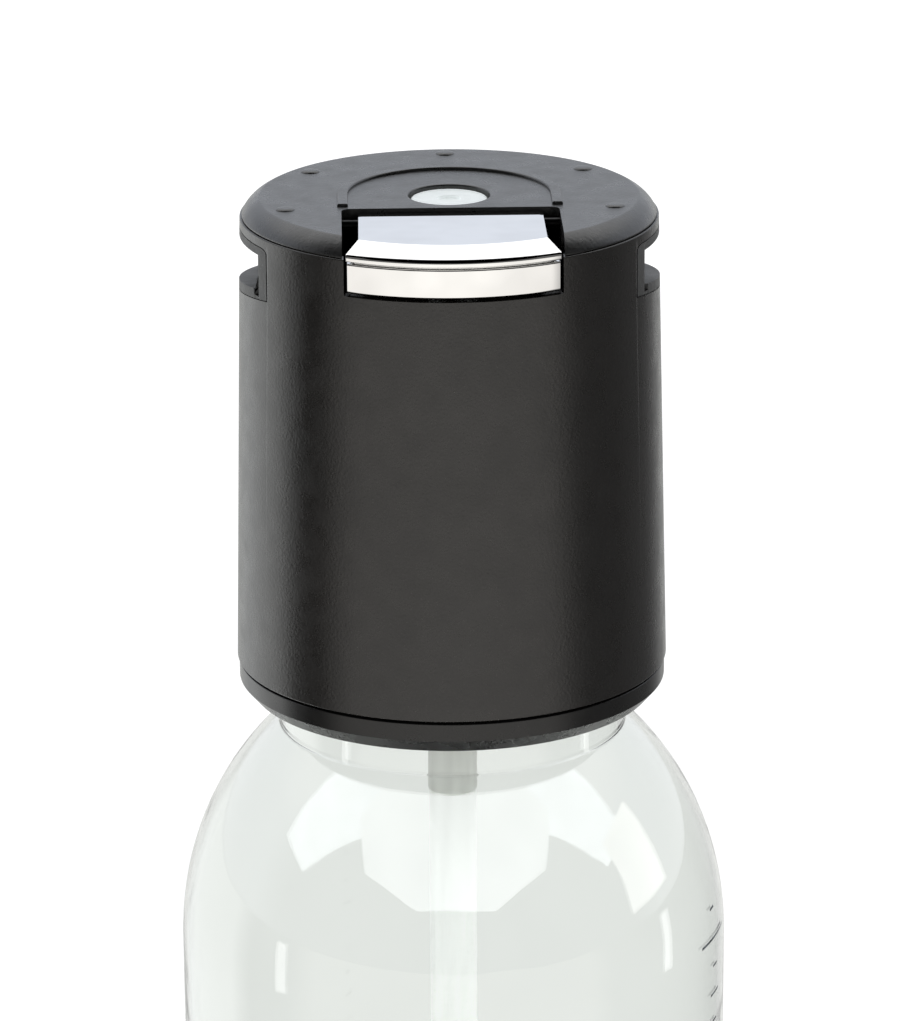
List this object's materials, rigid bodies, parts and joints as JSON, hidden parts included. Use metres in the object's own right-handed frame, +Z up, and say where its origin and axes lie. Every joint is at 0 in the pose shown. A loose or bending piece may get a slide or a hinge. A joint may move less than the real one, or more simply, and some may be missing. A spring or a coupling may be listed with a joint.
{
  "type": "soda carbonator",
  "caption": "Clear carbonation bottle with a screw-on black gas infuser: side rails, chrome pressure-release lever, spring-loaded gas inlet and dip tube.",
  "frame": {"origin": "middle of the base cup's underside, on the floor under the bottle's axis", "axes": "+Z up along the bottle's axis; -Y towards the release lever; +X to the right seen from the lever's side"},
  "size_m": [0.09, 0.09, 0.304],
  "materials": {
    "clear_bottle": "clear blown plastic",
    "black_moulding": "fine textured moulding",
    "grey_moulding": "coarser textured moulding",
    "black_ring": "satin",
    "chrome_plate": "polished plating",
    "white_disc": "satin",
    "tube_sleeve": "milky",
    "tube_plastic": "translucent",
    "inner_white": "plain moulding",
    "seal_rubber": "matt",
    "steel": "bright"
  },
  "bodies": {
    "bottle": {"bottle": "clear_bottle", "base_cup": "black_moulding"},
    "gas_tube": {"tube_holder": "tube_sleeve", "dip_tube": "tube_plastic"},
    "infuser": {"outer_shell": "black_moulding", "base_ring": "black_ring", "rail_frame": "grey_moulding", "top_cover": "black_moulding", "bottle_socket": "inner_white", "bottle_gasket": "seal_rubber", "valve_body": "inner_white", "vent_seat": "seal_rubber", "relief_cap": "inner_white", "lever_pin": "steel", "socket_screws": "steel", "frame_screws": "steel", "cover_screws": "steel", "check_spring": "steel", "inlet_spring": "steel", "vent_spring": "steel", "relief_spring": "steel"},
    "lever": {"release_lever": "chrome_plate", "lever_apron": "chrome_plate"},
    "vent_poppet": {"vent_rod": "inner_white"},
    "inlet_poppet": {"inlet_button": "white_disc"},
    "check_valve": {"check_poppet": "seal_rubber"},
    "relief_valve": {"relief_poppet": "seal_rubber"}
  },
  "joints": [
    {"name": "infuser_rise", "type": "slide", "parent": "bottle", "child": "gas_tube", "axis": [0, 0, 1], "range_m": [0, 0.00563]},
    {"name": "infuser_turn", "type": "hinge", "parent": "gas_tube", "child": "infuser", "pos_m": [0, 0, 0.227], "axis": [0, 0, 1], "range_deg": [0, 450]},
    {"name": "lever_lift", "type": "hinge", "parent": "infuser", "child": "lever", "pos_m": [0, -0.0112, 0.3016], "axis": [-1, 0, 0], "range_deg": [0, 30], "stiffness_Nm_per_rad": 0.02, "springref_deg": -17.19},
    {"name": "vent_lift", "type": "slide", "parent": "infuser", "child": "vent_poppet", "axis": [0, 0, 1], "range_m": [0, 0.00291], "deforming": ["vent_spring"]},
    {"name": "inlet_press", "type": "slide", "parent": "infuser", "child": "inlet_poppet", "axis": [0, 0, -1], "range_m": [0, 0.002], "stiffness_N_per_m": 800, "springref_m": -0.003, "deforming": ["inlet_spring"]},
    {"name": "check_open", "type": "slide", "parent": "infuser", "child": "check_valve", "axis": [0, 0, -1], "range_m": [0, 0.001], "stiffness_N_per_m": 200, "springref_m": -0.002, "deforming": ["check_spring"]},
    {"name": "relief_lift", "type": "slide", "parent": "infuser", "child": "relief_valve", "axis": [0, 0, 1], "range_m": [0, 0.001], "stiffness_N_per_m": 1500, "springref_m": -0.004, "deforming": ["relief_spring"]}
  ],
  "couplings": [
    {"joint": "infuser_rise", "follows": "infuser_turn", "m_per_rad": 0.0007162},
    {"joint": "vent_lift", "follows": "lever_lift", "m_per_rad": 0.0055386}
  ]
}
